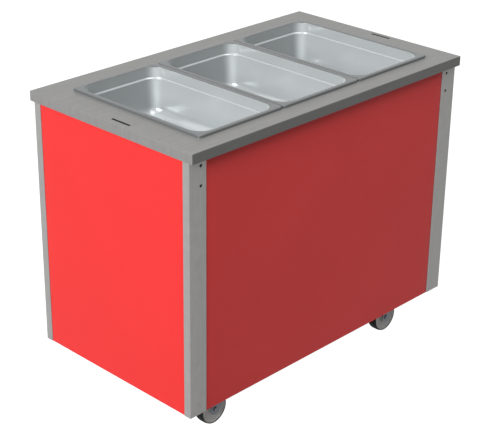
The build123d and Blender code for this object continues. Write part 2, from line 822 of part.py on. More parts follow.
# Ball valve: a hexagon at each end, a round body, a stem boss and an open outlet
def make_valve():
    top = valve_top()
    bottom = top - valve_length
    body = hexagon(valve_width, drain_x, drain_y, top - valve_hex_high, top)
    body += hexagon(valve_width, drain_x, drain_y, bottom, bottom + valve_hex_high)
    body += round_bar(valve_body_diameter, (drain_x, drain_y, bottom), (drain_x, drain_y, top))
    middle = (top + bottom) / 2
    boss_end = drain_y + valve_width / 2 + lever_sheet
    body += round_bar(boss_diameter, (drain_x, drain_y, middle), (drain_x, boss_end, middle))
    body += round_bar(stem_diameter, (drain_x, drain_y, middle), (drain_x, boss_end + 2 * lever_sheet, middle))
    body += round_bar(valve_outlet, (drain_x, drain_y, bottom - valve_outlet), (drain_x, drain_y, bottom))
    ball = round_bar(drain_bore, (drain_x, drain_y, middle + stem_diameter), (drain_x, drain_y, top))
    outlet = round_bar(drain_bore, (drain_x, drain_y, bottom - valve_outlet),
                       (drain_x, drain_y, middle - stem_diameter))
    return body - ball - outlet


# Lever: a flat handle bored for the stem, level when the valve is shut
def make_lever():
    middle = valve_top() - valve_length / 2
    start = drain_y + valve_width / 2 + lever_sheet + face_gap
    plane = Plane((drain_x, start, middle), x_dir=(-1, 0, 0), z_dir=(0, 1, 0))
    plate = plane * (SlotOverall(lever_length, lever_width).move(Pos(lever_length / 2 - lever_width / 2)))
    lever = extrude(plate, lever_sheet)
    return lever - round_bar(stem_diameter + 2 * running_fit, (drain_x, start, middle),
                             (drain_x, start + lever_sheet, middle))


# Chassis rails: two channels under the cupboard floor, drilled for the caster plates
def make_rails():
    rails = []
    half = rail_width / 2
    high = floor_top - floor_sheet
    for side in (-1, 1):
        y = side * caster_y
        section = folded([(y + half, high), (y + half, rail_bottom), (y - half, rail_bottom), (y - half, high)],
                         rail_bend, rail_sheet)
        plane = Plane((-end_inside, 0, 0), x_dir=(0, 1, 0), z_dir=(1, 0, 0))
        rail = extrude(plane * section, 2 * end_inside)
        for x, hole_y in bolt_places():
            if hole_y * side > 0:
                rail -= round_bar(bolt_diameter, (x, hole_y, rail_bottom), (x, hole_y, rail_bottom + rail_sheet))
        for x_side in (-1, 1):
            x = x_side * caster_x
            rail -= round_bar(rail_relief_diameter, (x, y, rail_bottom),
                              (x, y, rail_bottom + rail_sheet))
        rails.append(rail)
    return rails


def caster_places():
    return [(x * caster_x, y * caster_y) for y in (-1, 1) for x in (-1, 1)]


def bolt_places():
    spread = [(x * bolt_spacing_x / 2, y * bolt_spacing_y / 2) for x in (-1, 1) for y in (-1, 1)]
    return [(x + dx, y + dy) for x, y in caster_places() for dx, dy in spread]


# Heights of a caster, from the wheel up to the plate
def crown_bottom():
    return wheel_diameter + crown_gap


def race_bottom():
    return crown_bottom() + crown_thick + race_height


# Caster plates: a drilled plate over the upper ball race
def make_caster_plates():
    plates = []
    for x, y in caster_places():
        low = caster_height - plate_thick
        plate = rounded_block(plate_length, plate_width, plate_corner, low, caster_height)
        race = Cone(crown_diameter / 2 - race_step, crown_diameter / 2 + race_step,
                    low - race_bottom() - face_gap, align=downwards)
        plate += Pos(0, 0, low) * race
        plate -= Cylinder(kingpin_diameter / 2 + running_fit, 4 * caster_height)
        for dx in (-1, 1):
            for dy in (-1, 1):
                hole = round_bar(bolt_diameter, (dx * bolt_spacing_x / 2, dy * bolt_spacing_y / 2, low),
                                 (dx * bolt_spacing_x / 2, dy * bolt_spacing_y / 2, caster_height))
                plate -= hole
        plates.append(Pos(x, y, 0) * plate)
    return plates


# Bolts through the plates and rails, each with its nut
def make_caster_bolts():
    bolts = []
    low = caster_height - plate_thick
    web_top = rail_bottom + rail_sheet
    for x, y in bolt_places():
        bolt = hexagon(bolt_head, x, y, low - bolt_head_height, low)
        bolt += round_bar(bolt_diameter, (x, y, low), (x, y, web_top + nut_height + bolt_end))
        bolt += hexagon(bolt_head, x, y, web_top, web_top + nut_height)
        bolts.append(bolt)
    return bolts


# Fork at the origin, trailing to -X: crown, lower race, kingpin and two legs round the wheel
def make_fork(braked):
    low = crown_bottom()
    leg_in = wheel_width / 2 + fork_clear
    leg_out = leg_in + fork_sheet
    disc = Cylinder(crown_diameter / 2, crown_thick, align=upwards)
    race_foot = crown_diameter / 2 - race_step
    race = Cone(race_foot, race_foot - race_taper, race_height - face_gap, align=upwards)
    fork = Pos(0, 0, low) * disc + Pos(0, 0, low + crown_thick) * race
    fork += round_bar(kingpin_diameter, (0, 0, low), (0, 0, caster_height))
    edges = [*Circle(fork_eye).moved(Pos(-caster_trail, wheel_diameter / 2)).edges(),
             *Polyline((-fork_shoulder, low + crown_thick), (fork_shoulder, low + crown_thick),
                       (fork_shoulder, low)).edges()]
    if braked:
        edges += Circle(brake_ear).moved(Pos(*brake_pivot())).edges()
    outline = make_hull(edges)
    for y in (leg_out, -leg_in):
        plane = Plane((0, y, 0), x_dir=(1, 0, 0), z_dir=(0, -1, 0))
        fork += extrude(plane * outline, fork_sheet)
    bore_y = 2 * leg_out
    fork -= round_bar(axle_diameter, (-caster_trail, -bore_y, wheel_diameter / 2),
                      (-caster_trail, bore_y, wheel_diameter / 2))
    if braked:
        x, z = brake_pivot()
        fork -= round_bar(brake_pin_diameter, (x, -bore_y, z), (x, bore_y, z))
    return fork


# Axle bolt through the fork and wheel, with a domed head outside and a nut inside
def make_axle(out_side):
    leg_out = wheel_width / 2 + fork_clear + fork_sheet
    z = wheel_diameter / 2
    shank = round_bar(axle_diameter, (0, -leg_out, 0), (0, leg_out, 0))
    head = round_bar(axle_head_diameter, (0, leg_out, 0), (0, leg_out + axle_head, 0))
    head = fillet(head.faces().sort_by(Axis.Y)[-1].edges(), axle_head / 2)
    nut_plane = Plane((0, -leg_out, 0), x_dir=(1, 0, 0), z_dir=(0, -1, 0))
    nut = extrude(nut_plane * RegularPolygon(axle_head_diameter / 2 / cos(radians(30)), 6), nut_height)
    axle = Pos(-caster_trail, 0, z) * (shank + head + nut)
    return axle if out_side > 0 else mirror(axle, Plane.XZ)


# Wheel centre: hub, web and rim, bored for the axle
def make_wheel():
    rim_out = wheel_diameter / 2 - tyre_thick
    half = wheel_width / 2
    bore = axle_diameter / 2 + running_fit
    hub_half = half + fork_clear - face_gap
    hub = hub_diameter / 2
    side = half - wheel_side_gap
    rim_in = rim_out - wheel_rim
    face = wheel_web / 2
    profile = [(bore, -hub_half), (hub, -hub_half), (hub + wheel_slope, -face), (rim_in, -face),
               (rim_in + wheel_slope, -side), (rim_out, -side), (rim_out, side),
               (rim_in + wheel_slope, side), (rim_in, face), (hub + wheel_slope, face), (hub, hub_half),
               (bore, hub_half)]
    wheel = revolve(Plane.XY * make_face(Polyline(*profile, close=True)), Axis.Y)
    return Pos(-caster_trail, 0, wheel_diameter / 2) * wheel


# Tyre: a crowned ring on the rim
def make_tyre():
    inner = wheel_diameter / 2 - tyre_thick
    outer = wheel_diameter / 2
    half = wheel_width / 2
    shoulder = outer - tyre_crown
    arc = ThreePointArc((shoulder, -half), (outer, 0), (shoulder, half))
    profile = [Polyline((shoulder, half), (inner, half), (inner, -half), (shoulder, -half)), arc]
    tyre = revolve(Plane.XY * make_face(profile), Axis.Y)
    return Pos(-caster_trail, 0, wheel_diameter / 2) * tyre


# Where a brake pedal turns, in the side view of its fork, just outside the tyre
def brake_pivot():
    reach = wheel_diameter / 2 + brake_pivot_clear
    turn = radians(brake_pivot_angle)
    return -caster_trail - reach * sin(turn), wheel_diameter / 2 + reach * cos(turn)


# Brake pedal: a bored barrel with a tread plate behind and a shoe over the tyre
def make_pedal():
    x, z = brake_pivot()
    half = pedal_width / 2
    barrel = brake_pin_diameter / 2 + pedal_sheet
    pedal = round_bar(2 * barrel, (0, -half, 0), (0, half, 0))
    tread = block((-pedal_length, 0), (-half, half), (barrel - pedal_sheet, barrel))
    lip = block((-pedal_length - pedal_sheet, -pedal_length), (-half, half),
                (barrel - pedal_lip, barrel))
    lip = fillet(lip.edges().filter_by(Axis.Y).group_by(Axis.Z)[-1].sort_by(Axis.X)[0], pedal_lip_radius)
    pedal = pedal + tread + lip
    pedal -= round_bar(brake_pin_diameter + 2 * running_fit, (0, -pedal_width, 0), (0, pedal_width, 0))
    return Pos(x, 0, z) * pedal


# Pin that carries a pedal between the legs of its fork
def make_brake_pin():
    x, z = brake_pivot()
    leg_out = wheel_width / 2 + fork_clear + fork_sheet
    return round_bar(brake_pin_diameter, (x, -leg_out, z), (x, leg_out, z))


# Everything, by the name of its file
def make_parts():
    parts = {
        "worktop": make_worktop(),
        "well_tank": make_tank(),
        "well_insulation": make_insulation(),
        "heating_elements": make_elements(),
        "element_clamps": make_clamps(),
        "pan_support_bars": make_support_bars(),
        "customer_panel": make_customer_panel(),
        "chassis_rails": make_rails(),
        "cupboard_floor": make_cupboard_floor(),
        "cupboard_shelf": make_shelf(),
        "shelf_brackets": make_shelf_brackets(),
        "cupboard_ceiling": make_cupboard_ceiling(),
        "door_sill": make_sill(),
        "door_hinge_pins": make_hinge_pins(),
        "door_catches": make_catches(),
        "control_fascia": make_control_fascia(),
        "control_fascia_screws": make_fascia_screws(),
        "control_housing": make_control_housing(),
        "thermostat_body": make_thermostat(),
        "thermostat_knob": make_knob(),
        "indicator_lamps": make_lamps(),
        "mains_switch_frame": make_switch_frame(),
        "mains_switch_rocker": make_rocker(),
        "cable_gland": make_gland(),
        "drain_pipe": make_drain_pipe(),
        "drain_valve": make_valve(),
        "drain_lever": make_lever(),
        "caster_plates": make_caster_plates(),
        "caster_bolts": make_caster_bolts(),
    }
    for name, x in zip(pan_names, pan_xs):
        parts[f"pan_{name}"] = make_pan(x)
    for side_name, side in (("left", -1), ("right", 1)):
        parts[f"end_panel_{side_name}"] = make_end_panel(side)
        parts[f"upright_socket_{side_name}"] = make_socket(side)
        parts[f"door_{side_name}"] = make_door(side)
        parts[f"door_grip_{side_name}"] = make_grip(side)
        for row_name, row in (("customer", -1), ("operator", 1)):
            corner = f"{row_name}_{side_name}"
            parts[f"post_{corner}"] = make_post(side, row)
            place = Pos(side * caster_x, row * caster_y, 0)
            braked = row > 0
            fork_set = [make_fork(braked), make_axle(row)]
            if braked:
                fork_set.append(make_brake_pin())
                parts[f"brake_pedal_{corner}"] = place * make_pedal()
            parts[f"caster_fork_{corner}"] = [place * piece for piece in fork_set]
            parts[f"caster_wheel_{corner}"] = place * make_wheel()
            parts[f"caster_tyre_{corner}"] = place * make_tyre()
    return parts


os.makedirs("parts", exist_ok=True)
for node, shape in make_parts().items():
    solids = shape if isinstance(shape, list) else [shape]
    whole = Compound([solid for piece in solids for solid in piece.solids()])
    whole.label = node
    export_step(whole, f"parts/{node}.step")
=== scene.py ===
import json
import math

import bmesh
import bpy
import numpy as np
from mathutils import Matrix, Vector


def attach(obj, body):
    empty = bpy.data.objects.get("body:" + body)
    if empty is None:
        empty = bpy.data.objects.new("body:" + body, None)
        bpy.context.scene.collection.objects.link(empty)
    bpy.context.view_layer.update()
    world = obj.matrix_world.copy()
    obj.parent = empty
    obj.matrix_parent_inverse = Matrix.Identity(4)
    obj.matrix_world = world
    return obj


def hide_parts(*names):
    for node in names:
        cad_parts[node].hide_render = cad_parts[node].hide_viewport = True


# Looks of a three-pan mobile bain marie, built round its CAD frame. Sizes are in millimetres until a mesh
# is made. X runs along the length, the customer side faces -Y and Z is up.
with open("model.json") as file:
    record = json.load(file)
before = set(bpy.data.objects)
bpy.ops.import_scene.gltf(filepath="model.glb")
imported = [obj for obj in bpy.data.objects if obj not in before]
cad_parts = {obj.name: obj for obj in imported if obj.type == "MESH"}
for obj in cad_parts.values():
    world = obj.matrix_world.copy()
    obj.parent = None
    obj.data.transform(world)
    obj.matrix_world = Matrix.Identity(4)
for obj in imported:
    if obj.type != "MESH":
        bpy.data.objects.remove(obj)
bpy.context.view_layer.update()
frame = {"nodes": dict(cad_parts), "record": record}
mm = 0.001
sharpAngle = math.radians(32)  # edges that turn by more than this are drawn sharp
axisShare = 0.7  # a face looks along an axis when its unit normal has more than this along it
print("frame loaded:", len(frame["nodes"]), "nodes")


# Node materials

finish = dict(steelGloss=0.2, steelRough=(-0.03, 0.04), paintRough=(-0.04, 0.08), mouldedRough=(-0.06, 0.06),
              mouldedGloss=0.5, soilScale=18.0, soilDepth=0.06, noiseRange=(0.3, 0.7), bumpHigh=0.0004,
              peelHigh=0.0002)


def setInputs(tree, node, inputs):
    # each input, by its name or number, is linked to a socket or set to a value
    for key, value in inputs.items():
        if isinstance(value, bpy.types.NodeSocket):
            tree.links.new(value, node.inputs[key])
        else:
            node.inputs[key].default_value = value


def addNode(tree, kind, inputs, **settings):
    # a shader node with its settings and inputs
    node = tree.nodes.new(f"ShaderNode{kind}")
    for key, value in settings.items():
        setattr(node, key, value)
    setInputs(tree, node, inputs)
    return node


def newMaterial(name):
    # a node material with its tree and its main shader
    material = bpy.data.materials.new(name)
    material.use_nodes = True
    return material, material.node_tree, material.node_tree.nodes["Principled BSDF"]


def noiseOver(tree, scale, stretch=(1, 1, 1), detail=4.0, roughness=0.55, source="Object"):
    # noise over the Object coordinates or the piece's own UV, drawn out along the axes whose stretch is small
    coords = addNode(tree, "TexCoord", {})
    mapping = addNode(tree, "Mapping", {"Vector": coords.outputs[source], "Scale": stretch})
    noise = addNode(tree, "TexNoise", {"Vector": mapping.outputs["Vector"], "Scale": scale, "Detail": detail,
                                       "Roughness": roughness})
    return noise.outputs["Fac"]


def spread(tree, noise, low, high):
    # a linear map of the range where most of the noise lies onto low..high
    inputs = {"Value": noise, "From Min": finish["noiseRange"][0], "From Max": finish["noiseRange"][1],
              "To Min": low, "To Max": high}
    return addNode(tree, "MapRange", inputs).outputs["Result"]


def aboutOne(tree, noise, depth):
    # the noise as a factor from 1 - depth to 1 + depth
    return spread(tree, noise, 1 - depth, 1 + depth)


def roughAbout(tree, noise, rough, change):
    # the noise as a roughness from rough + the first change to rough + the second
    return spread(tree, noise, rough + change[0], rough + change[1])


def mathNode(tree, operation, a, b, **settings):
    # what one Math node makes of two sockets or numbers
    return addNode(tree, "Math", {0: a, 1: b}, operation=operation, **settings).outputs["Value"]


def times(tree, a, b):
    # a times b
    return mathNode(tree, "MULTIPLY", a, b)


def tinted(tree, colour, factor):
    # the base colour scaled by a factor near one
    return addNode(tree, "VectorMath", {0: colour, "Scale": factor}, operation="SCALE").outputs["Vector"]


def addBump(tree, shader, height, strength, high):
    # a normal tilted as if the noise raised the surface by up to high metres at full strength
    node = addNode(tree, "Bump", {"Height": height, "Strength": strength, "Distance": high})
    setInputs(tree, shader, {"Normal": node.outputs["Normal"]})


def steelMaterial(name, look):
    # brushed sheet: shade = streaks along the grain x cloudy handling marks x the face attribute's painted
    # light and shade where the look reads it, roughness by the clouds
    material, tree, shader = newMaterial(name)
    streaks = noiseOver(tree, look["streakScale"], look["streak"], 5.0, 0.6, look.get("grain", "Object"))
    clouds = noiseOver(tree, look["cloudScale"], (1, 1, 1), 5.0, 0.6)
    factor = times(tree, aboutOne(tree, streaks, look["streakDepth"]),
                   aboutOne(tree, clouds, look["cloudDepth"]))
    # painted light and shade: the colour is scaled by the face attribute that the worktop and pans carry
    if look.get("toned"):
        paintedLightTone = addNode(tree, "Attribute", {}, attribute_name="paintedLightTone")
        factor = times(tree, factor, paintedLightTone.outputs["Fac"])
    rough = roughAbout(tree, clouds, look["rough"], finish["steelRough"])
    setInputs(tree, shader, {"Base Color": tinted(tree, look["colour"], factor), "Metallic": look["metallic"],
                             "Specular IOR Level": finish["steelGloss"], "Roughness": rough})
    addBump(tree, shader, streaks, look["bump"], finish["bumpHigh"])
    return material


def paintMaterial(name, look):
    # sprayed enamel: a slow drift of shade, a little dust in the gloss, orange peel in the height
    material, tree, shader = newMaterial(name)
    drift = noiseOver(tree, look["driftScale"], (1, 1, 1), 3.0)
    peel = noiseOver(tree, look["peelScale"], (1, 1, 1), 2.0)
    dust = noiseOver(tree, look["dustScale"], (1, 1, 1), 6.0, 0.65)
    shade = tinted(tree, look["colour"], aboutOne(tree, drift, look["driftDepth"]))
    rough = roughAbout(tree, dust, look["rough"], finish["paintRough"])
    setInputs(tree, shader, {"Base Color": shade, "Roughness": rough, "Specular IOR Level": look["gloss"]})
    addBump(tree, shader, peel, look["peel"], finish["peelHigh"])
    return material


def insideBox(tree, middle, half):
    # one where the distance from the box's middle is under its half size on every axis, else nought
    coords = addNode(tree, "TexCoord", {})
    offset = addNode(tree, "VectorMath", {0: coords.outputs["Object"], 1: middle}, operation="SUBTRACT")
    distance = addNode(tree, "VectorMath", {0: offset.outputs["Vector"]}, operation="ABSOLUTE")
    split = addNode(tree, "SeparateXYZ", {0: distance.outputs["Vector"]})
    x, y, z = (mathNode(tree, "LESS_THAN", split.outputs[axis], limit) for axis, limit in zip("XYZ", half))
    return times(tree, times(tree, x, y), z)


def mouldedMaterial(name, look):
    # moulded plastic, rubber or fibre: shade = grain x soil, plus a painted mark inside its box
    material, tree, shader = newMaterial(name)
    grain = noiseOver(tree, look["grainScale"], look.get("stretch", (1, 1, 1)), 4.0)
    soil = noiseOver(tree, finish["soilScale"], (1, 1, 1), 4.0)
    factor = times(tree, aboutOne(tree, grain, look["grainDepth"]), aboutOne(tree, soil, finish["soilDepth"]))
    shade = tinted(tree, look["colour"], factor)
    if "mark" in look:
        mark = look["mark"]
        paint = tinted(tree, mark["paint"], insideBox(tree, mark["middle"], mark["half"]))
        shade = addNode(tree, "VectorMath", {0: shade, 1: paint}, operation="ADD").outputs["Vector"]
    rough = roughAbout(tree, soil, look["rough"], finish["mouldedRough"])
    setInputs(tree, shader, {"Base Color": shade, "Roughness": rough,
                             "Specular IOR Level": look.get("gloss", finish["mouldedGloss"])})
    addBump(tree, shader, grain, look["bump"], finish["bumpHigh"])
    return material


steels = {
    "worktop_steel": dict(colour=(0.268, 0.265, 0.260), metallic=0.25, rough=0.42, streak=(0.03, 1, 1),
                          streakScale=160.0, streakDepth=0.07, cloudScale=45.0, cloudDepth=0.05, bump=0.04,
                          grain="UV", toned=True),
    "pan_steel": dict(colour=(0.52, 0.545, 0.55), metallic=0.35, rough=0.19, streak=(1, 1, 0.3),
                      streakScale=60.0, streakDepth=0.01, cloudScale=12.0, cloudDepth=0.008, bump=0.0,
                      toned=True),
    "post_steel": dict(colour=(0.345, 0.342, 0.335), metallic=0.4, rough=0.42, streak=(0.03, 1, 1),
                       streakScale=160.0, streakDepth=0.03, cloudScale=35.0, cloudDepth=0.05, bump=0.03,
                       grain="UV"),
    "plain_steel": dict(colour=(0.42, 0.42, 0.41), metallic=0.6, rough=0.36, streak=(0.02, 1, 1),
                        streakScale=800.0, streakDepth=0.05, cloudScale=8.0, cloudDepth=0.03, bump=0.05),
    "raw_steel": dict(colour=(0.035, 0.035, 0.036), metallic=0.2, rough=0.6, streak=(1, 1, 1),
                      streakScale=300.0, streakDepth=0.1, cloudScale=30.0, cloudDepth=0.1, bump=0.05),
    "fastener": dict(colour=(0.55, 0.56, 0.57), metallic=0.9, rough=0.3, streak=(1, 1, 1),
                     streakScale=1500.0, streakDepth=0.06, cloudScale=60.0, cloudDepth=0.04, bump=0.08),
    "pipe_steel": dict(colour=(0.50, 0.50, 0.50), metallic=0.85, rough=0.35, streak=(1, 1, 0.05),
                       streakScale=900.0, streakDepth=0.05, cloudScale=30.0, cloudDepth=0.04, bump=0.06),
    "element": dict(colour=(0.16, 0.14, 0.12), metallic=0.7, rough=0.5, streak=(0.3, 0.3, 1),
                    streakScale=300.0, streakDepth=0.1, cloudScale=25.0, cloudDepth=0.25, bump=0.08),
    "brake_steel": dict(colour=(0.42, 0.44, 0.47), metallic=0.8, rough=0.35, streak=(1, 0.1, 1),
                        streakScale=800.0, streakDepth=0.05, cloudScale=50.0, cloudDepth=0.05, bump=0.06),
    "brass": dict(colour=(0.62, 0.47, 0.20), metallic=0.9, rough=0.32, streak=(1, 1, 0.3),
                  streakScale=700.0, streakDepth=0.06, cloudScale=40.0, cloudDepth=0.08, bump=0.06),
    "zinc": dict(colour=(0.15, 0.165, 0.185), metallic=0.5, rough=0.36, streak=(1, 1, 1),
                 streakScale=420.0, streakDepth=0.06, cloudScale=70.0, cloudDepth=0.08, bump=0.05),
}
paints = {
    "panel_red": dict(colour=(0.90, 0.043, 0.042), rough=0.38, gloss=0.12, driftScale=3.0, driftDepth=0.02,
                      peelScale=1100.0, peel=0.05, dustScale=40.0),
    # panel_dark_red is the same paint as panel_red, a copy for the shaded customer side: painted shade in a
    # slightly darker red, with a little more green and blue
    "panel_dark_red": dict(colour=(0.83, 0.070, 0.070), rough=0.42, gloss=0.12, driftScale=3.0,
                           driftDepth=0.025, peelScale=1100.0, peel=0.05, dustScale=40.0),
}
blackPlastic = dict(colour=(0.022, 0.022, 0.023), rough=0.42, grainScale=1800.0, grainDepth=0.15, bump=0.12)
# The paint in the knob's pointer groove, inside a box in metres
pointer = dict(middle=(-0.075, 0.336, 0.844), half=(0.0011, 0.0005, 0.0075), paint=(0.75, 0.75, 0.74))
mouldings = {
    "black_plastic": blackPlastic,
    "knob_black": dict(blackPlastic, mark=pointer),
    "rocker": dict(colour=(0.03, 0.30, 0.07), rough=0.25, grainScale=900.0, grainDepth=0.05, bump=0.03),
    "lamp": dict(colour=(0.80, 0.30, 0.03), rough=0.2, grainScale=700.0, grainDepth=0.08, bump=0.05),
    "wheel_grey": dict(colour=(0.68, 0.68, 0.66), rough=0.5, grainScale=1500.0, grainDepth=0.05, bump=0.08),
    "tyre_black": dict(colour=(0.008, 0.011, 0.011), rough=0.7, gloss=0.15, grainScale=1600.0, grainDepth=0.2,
                       bump=0.15),
    "insulation": dict(colour=(0.72, 0.68, 0.55), rough=0.9, grainScale=260.0, grainDepth=0.2, bump=0.9,
                       stretch=(0.4, 0.4, 1)),
}
materials = {}
for makeMaterial, table in ((steelMaterial, steels), (paintMaterial, paints), (mouldedMaterial, mouldings)):
    materials.update({name: makeMaterial(name, look) for name, look in table.items()})
print("materials:", len(materials))


# Meshes

def gridFaces(rows, columns, closedRows=False):
    # quads between neighbouring rows and columns of a grid whose columns close on themselves, row by row
    a, b = np.meshgrid(np.arange(rows if closedRows else rows - 1), np.arange(columns), indexing="ij")
    nextA, nextB = (a + 1) % rows, (b + 1) % columns
    quads = [a * columns + b, nextA * columns + b, nextA * columns + nextB, a * columns + nextB]
    return np.stack(quads, -1).reshape(-1, 4).tolist()


def smoothed(mesh):
    # soft shading with the sharp edges kept
    mesh.shade_smooth()
    mesh.set_sharp_from_angle(angle=sharpAngle)
    return mesh


def newObject(name, points, faces):
    # a mesh from whole arrays in millimetres, with its faces turned outwards
    mesh = bpy.data.meshes.new(name)
    mesh.from_pydata((points.reshape(-1, 3) * mm).tolist(), [], faces)
    shape = bmesh.new()
    shape.from_mesh(mesh)
    bmesh.ops.remove_doubles(shape, verts=shape.verts, dist=1e-6)
    bmesh.ops.recalc_face_normals(shape, faces=shape.faces)
    shape.to_mesh(mesh)
    shape.free()
    thing = bpy.data.objects.new(name, smoothed(mesh))
    bpy.context.scene.collection.objects.link(thing)
    return thing


def addPiece(thing, slotName, body, node):
    # a finished piece that rides a body and stands in for a CAD node
    thing.data.materials.clear()
    thing.data.materials.append(materials[slotName])
    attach(thing, body)
    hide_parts(node)
    return thing


def bentPath(corners, bends, steps=5, spacing=None):
    # straight runs joined by arcs of the given bends, with the unit normal on the right of each point:
    # an arc's middle lies bend x tan(half the turn) back along the run and bend to the inside
    corners = np.array(corners, float)
    bends = np.broadcast_to(bends, len(corners) - 2)
    runs = np.diff(corners, axis=0)
    ahead = runs / np.linalg.norm(runs, axis=1)[:, None]
    right = np.stack([ahead[:, 1], -ahead[:, 0]], 1)
    points, normals = [corners[:1]], [right[:1]]
    for k, bend in enumerate(bends, 1):
        cross = ahead[k - 1, 0] * ahead[k, 1] - ahead[k - 1, 1] * ahead[k, 0]
        angle = math.atan2(cross, ahead[k - 1] @ ahead[k])
        side = math.copysign(1, angle)
        centre = corners[k] - ahead[k - 1] * bend * math.tan(abs(angle) / 2) - right[k - 1] * bend * side
        turn = np.linspace(0, angle, steps + 1)[:, None]
        arc = right[k - 1] * np.cos(turn) + np.array([-right[k - 1, 1], right[k - 1, 0]]) * np.sin(turn)
        points.append(centre + arc * bend * side)
        normals.append(arc)
    points, normals = np.vstack([*points, corners[-1:]]), np.vstack([*normals, right[-1:]])
    if spacing:
        gap = np.linalg.norm(np.diff(points, axis=0), axis=1)
        count = np.maximum(1, np.round(gap / spacing)).astype(int)
        share = np.concatenate([np.arange(n) / n + i for i, n in enumerate(count)] + [[len(points) - 1]])
        order = np.arange(len(points))
        points, normals = (np.stack([np.interp(share, order, values[:, k]) for k in (0, 1)], 1)
                           for values in (points, normals))
    return points, normals


def foldedStrip(corners, bend, sheet, lengths, place, spacing=None):
    # sheet of one thickness whose section follows the bent path, carried straight through the lengths
    outer, normals = bentPath(corners, bend, spacing=spacing)
    section = np.vstack([outer, (outer + normals * sheet)[::-1]])
    lengths = np.array(lengths, float)
    u, w = np.broadcast_arrays(section[None, :, 0], lengths[:, None])
    v = np.broadcast_to(section[None, :, 1], w.shape)
    i = np.arange(len(outer) - 1)
    cap = np.stack([i, i + 1, len(section) - 2 - i, len(section) - 1 - i], 1)
    farCap = cap + (len(lengths) - 1) * len(section)
    faces = gridFaces(len(lengths), len(section)) + cap.tolist() + farCap.tolist()
    return place(u, v, w).reshape(-1, 3), faces


def joined(parts):
    # several (points, faces) pairs as one, each one's faces counted on from the points before it
    points, faces, start = [], [], 0
    for some, those in parts:
        points.append(some.reshape(-1, 3))
        faces += [[start + k for k in face] for face in those]
        start += len(points[-1])
    return np.vstack(points), faces


def slab(low, high):
    # a plain block between two corners, for a flange that nothing rounds
    corners = np.array(np.meshgrid(*zip(low, high), indexing="ij")).reshape(3, -1).T
    faces = [[0, 1, 3, 2], [4, 6, 7, 5], [0, 4, 5, 1], [2, 3, 7, 6], [0, 2, 6, 4], [1, 5, 7, 3]]
    return corners, faces


def ringRows(halfX, halfY, corner, centreX, centreY, height, steps=9):
    # rounded rectangles, one a row: x = centre + side x (half - corner) + corner x cos(turn), y with sin
    turn = ((np.arange(4)[:, None] + np.linspace(0, 1, steps + 1)) * math.pi / 2).ravel()
    sideX = np.repeat([1, -1, -1, 1], steps + 1)
    sideY = np.repeat([1, 1, -1, -1], steps + 1)
    halfX, halfY, corner, height = (np.asarray(v, float)[:, None] for v in (halfX, halfY, corner, height))
    x = centreX + sideX * (halfX - corner) + corner * np.cos(turn)
    y = centreY + sideY * (halfY - corner) + corner * np.sin(turn)
    return np.stack([x, y, np.broadcast_to(height, x.shape)], -1)


def closedShell(rows, topPole, underPole):
    # rows from one pole out to the edge and back to the other pole, closed by a fan at each pole
    count, columns = rows.shape[:2]
    points = np.vstack([rows.reshape(-1, 3), [topPole], [underPole]])
    j = np.arange(columns)
    last = (count - 1) * columns
    firstFan = np.stack([np.full(columns, count * columns), j, (j + 1) % columns], 1)
    lastFan = np.stack([np.full(columns, count * columns + 1), last + (j + 1) % columns, last + j], 1)
    return points, gridFaces(count, columns) + firstFan.tolist() + lastFan.tolist()


def spun(profile, centre, axis, steps=72):
    # a profile of (radius, along) turned about an axis: centre + radius * (cos, sin) + along * axis
    turn = np.linspace(0, 2 * math.pi, steps, endpoint=False)
    axis = Vector(axis)
    first = np.array(axis.orthogonal().normalized())
    second = np.cross(np.array(axis), first)
    radius, along = profile[:, 0][:, None, None], profile[:, 1][:, None, None]
    circle = first * np.cos(turn)[:, None] + second * np.sin(turn)[:, None]
    points = np.array(centre, float) + radius * circle[None] + along * np.array(axis)
    return points.reshape(-1, 3), gridFaces(len(profile), steps, closedRows=True)


def cutBy(thing, cutters):
    # takes the cutters' solids out of a piece and leaves a plain mesh
    for cutter in cutters:
        cut = thing.modifiers.new("cut", "BOOLEAN")
        cut.operation = "DIFFERENCE"
        cut.solver = "EXACT"
        cut.object = cutter
    graph = bpy.context.evaluated_depsgraph_get()
    mesh = bpy.data.meshes.new_from_object(thing.evaluated_get(graph))
    thing.modifiers.clear()
    thing.data = smoothed(mesh)
    for cutter in cutters:
        bpy.data.objects.remove(cutter)


def perFace(thing, key):
    # a vector for each face, by the mesh's own name for it: "normal" or "center"
    values = np.zeros(len(thing.data.polygons) * 3, np.float32)
    thing.data.polygons.foreach_get(key, values)
    return values.reshape(-1, 3)


def addPaintedLightTone(thing, paintedLightTone):
    # painted light and shade: how much lighter or darker each face is drawn, beside one
    thing.data.attributes.new("paintedLightTone", "FLOAT", "FACE").data.foreach_set("value", paintedLightTone.astype(np.float32))


def addGrain(thing, upright):
    # a UV map in metres: u runs along the brushing and v across it, picked by which way each face looks
    mesh = thing.data
    place = np.zeros(len(mesh.vertices) * 3, np.float32)
    mesh.vertices.foreach_get("co", place)
    corner = np.zeros(len(mesh.loops), np.int32)
    mesh.loops.foreach_get("vertex_index", corner)
    size = np.zeros(len(mesh.polygons), np.int32)
    mesh.polygons.foreach_get("loop_total", size)
    x, y, z = place.reshape(-1, 3)[corner].T
    normal = np.abs(np.repeat(perFace(thing, "normal"), size, axis=0))
    end, side = normal[:, 0] > axisShare, normal[:, 1] > axisShare
    farOff = 3  # moves the side faces' noise away from the top's
    if upright:
        along, across = z, np.where(end, y, x)
    else:
        along, across = np.where(end, z, x), np.where(side, z + farOff, y)
    layer = mesh.uv_layers.new(name="grain")
    layer.data.foreach_set("uv", np.stack([along, across], 1).astype(np.float32).ravel())


# Worktop

